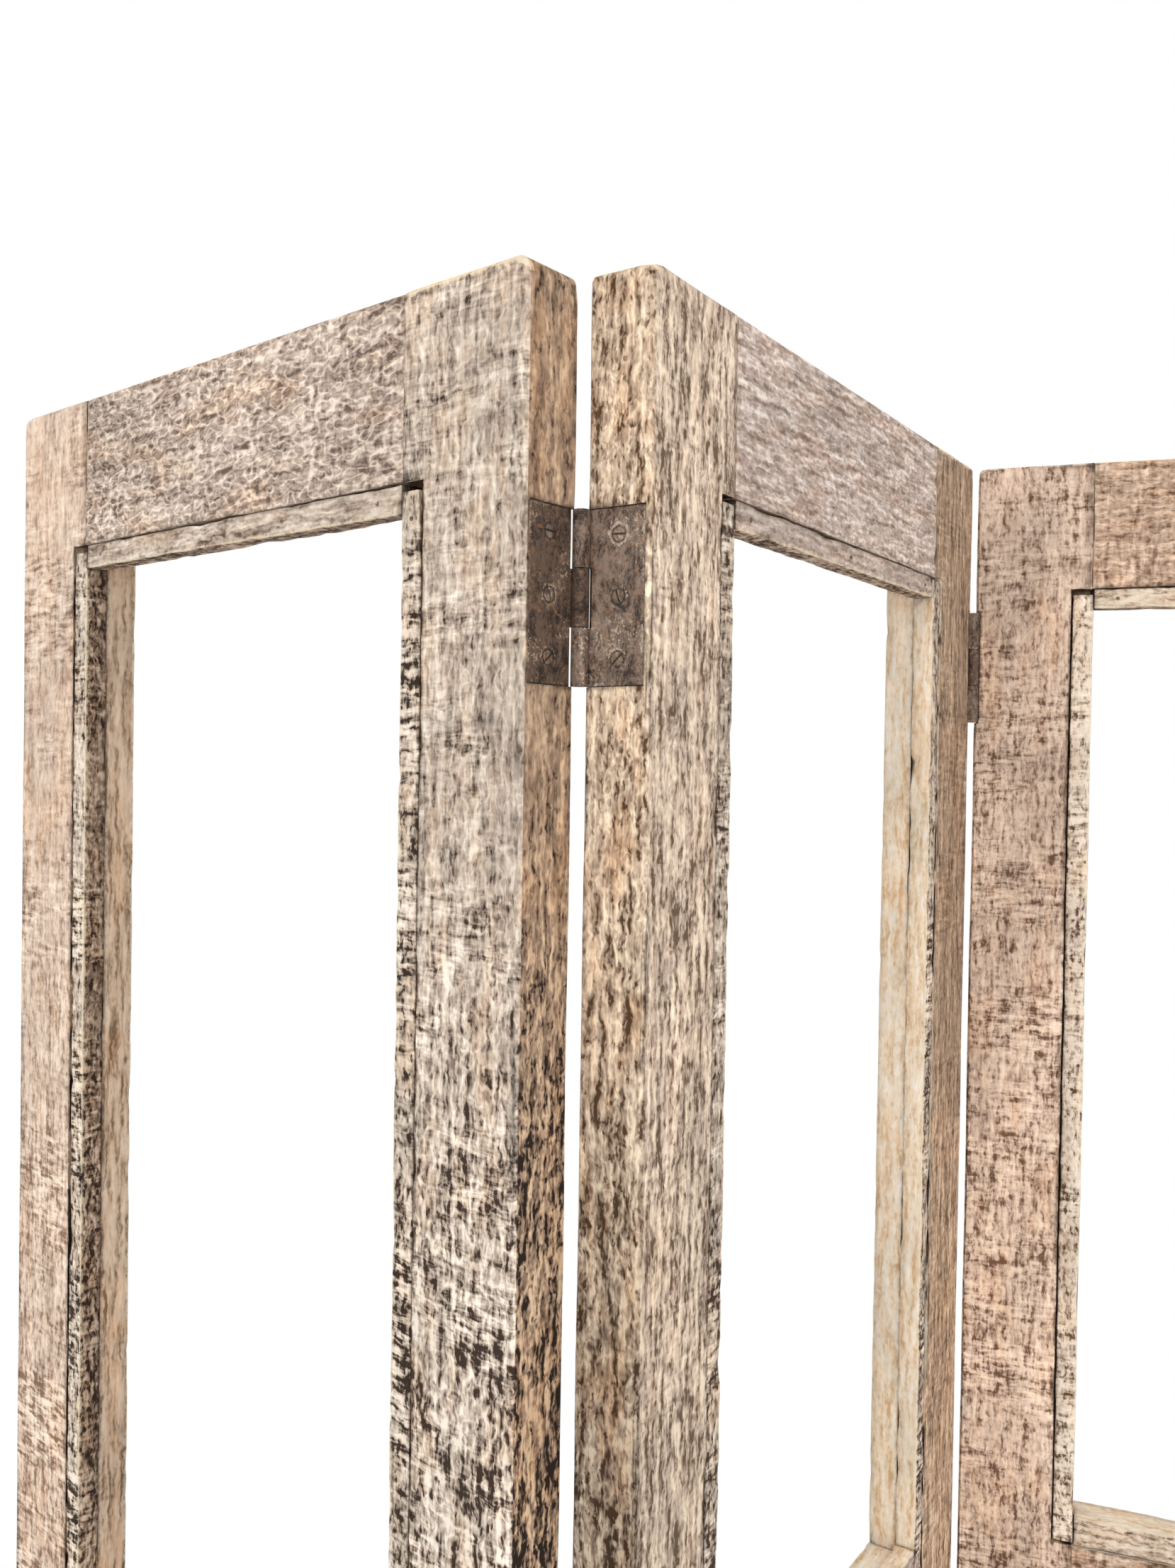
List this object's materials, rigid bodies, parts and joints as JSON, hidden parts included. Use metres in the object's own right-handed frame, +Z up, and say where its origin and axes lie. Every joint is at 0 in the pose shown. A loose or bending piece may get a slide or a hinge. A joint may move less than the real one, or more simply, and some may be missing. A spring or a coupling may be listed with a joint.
{
  "type": "room divider",
  "caption": "Folding screen of open rebated wooden frames with loose stops, joined by let-in iron butt hinges so that it stands in a zigzag and folds flat.",
  "frame": {"origin": "on the floor, under the middle of the opened screen's bounding box", "axes": "Z up; the viewer stands on the -Y side of the screen as pictured, with +X to the right"},
  "size_m": [1.0938, 0.4116, 1.78],
  "materials": {
    "frame_wood": "rough-sawn hardwood, brown stained and rubbed with pale lime wax, heavily worn",
    "stop_wood": "rough-sawn strips, limed like the frames but paler",
    "hinge_iron": "old dark brown iron with rust and traces of lime wax",
    "pin_iron": "dark iron rod, cut flush at both ends",
    "screw_iron": "dark countersunk wood screws"
  },
  "bodies": {
    "middle_panel": {"left_bottom_hinge_inner_leaf": "hinge_iron", "left_hinge_inner_screws": "screw_iron", "left_hinge_pins": "pin_iron", "left_middle_hinge_inner_leaf": "hinge_iron", "left_top_hinge_inner_leaf": "hinge_iron", "middle_panel_bottom_rail": "frame_wood", "middle_panel_left_stile": "frame_wood", "middle_panel_lower_head_stop": "stop_wood", "middle_panel_lower_left_stop": "stop_wood", "middle_panel_lower_right_stop": "stop_wood", "middle_panel_lower_sill_stop": "stop_wood", "middle_panel_mid_rail": "frame_wood", "middle_panel_right_stile": "frame_wood", "middle_panel_top_rail": "frame_wood", "middle_panel_upper_head_stop": "stop_wood", "middle_panel_upper_left_stop": "stop_wood", "middle_panel_upper_right_stop": "stop_wood", "middle_panel_upper_sill_stop": "stop_wood", "right_bottom_hinge_inner_leaf": "hinge_iron", "right_hinge_inner_screws": "screw_iron", "right_hinge_pins": "pin_iron", "right_middle_hinge_inner_leaf": "hinge_iron", "right_top_hinge_inner_leaf": "hinge_iron"},
    "left_panel": {"left_bottom_hinge_outer_leaf": "hinge_iron", "left_hinge_outer_screws": "screw_iron", "left_middle_hinge_outer_leaf": "hinge_iron", "left_panel_bottom_rail": "frame_wood", "left_panel_left_stile": "frame_wood", "left_panel_lower_head_stop": "stop_wood", "left_panel_lower_left_stop": "stop_wood", "left_panel_lower_right_stop": "stop_wood", "left_panel_lower_sill_stop": "stop_wood", "left_panel_mid_rail": "frame_wood", "left_panel_right_stile": "frame_wood", "left_panel_top_rail": "frame_wood", "left_panel_upper_head_stop": "stop_wood", "left_panel_upper_left_stop": "stop_wood", "left_panel_upper_right_stop": "stop_wood", "left_panel_upper_sill_stop": "stop_wood", "left_top_hinge_outer_leaf": "hinge_iron"},
    "right_panel": {"right_bottom_hinge_outer_leaf": "hinge_iron", "right_hinge_outer_screws": "screw_iron", "right_middle_hinge_outer_leaf": "hinge_iron", "right_panel_bottom_rail": "frame_wood", "right_panel_left_stile": "frame_wood", "right_panel_lower_head_stop": "stop_wood", "right_panel_lower_left_stop": "stop_wood", "right_panel_lower_right_stop": "stop_wood", "right_panel_lower_sill_stop": "stop_wood", "right_panel_mid_rail": "frame_wood", "right_panel_right_stile": "frame_wood", "right_panel_top_rail": "frame_wood", "right_panel_upper_head_stop": "stop_wood", "right_panel_upper_left_stop": "stop_wood", "right_panel_upper_right_stop": "stop_wood", "right_panel_upper_sill_stop": "stop_wood", "right_top_hinge_outer_leaf": "hinge_iron"}
  },
  "joints": [
    {"name": "left_fold", "type": "hinge", "parent": "middle_panel", "child": "left_panel", "pos_m": [-0.17726, -0.17979, 0.89], "axis": [0, 0, 1], "range_deg": [-84.6, 95.4]},
    {"name": "right_fold", "type": "hinge", "parent": "middle_panel", "child": "right_panel", "pos_m": [0.10941, 0.17302, 0.89], "axis": [0, 0, 1], "range_deg": [-105.1, 74.9]}
  ]
}
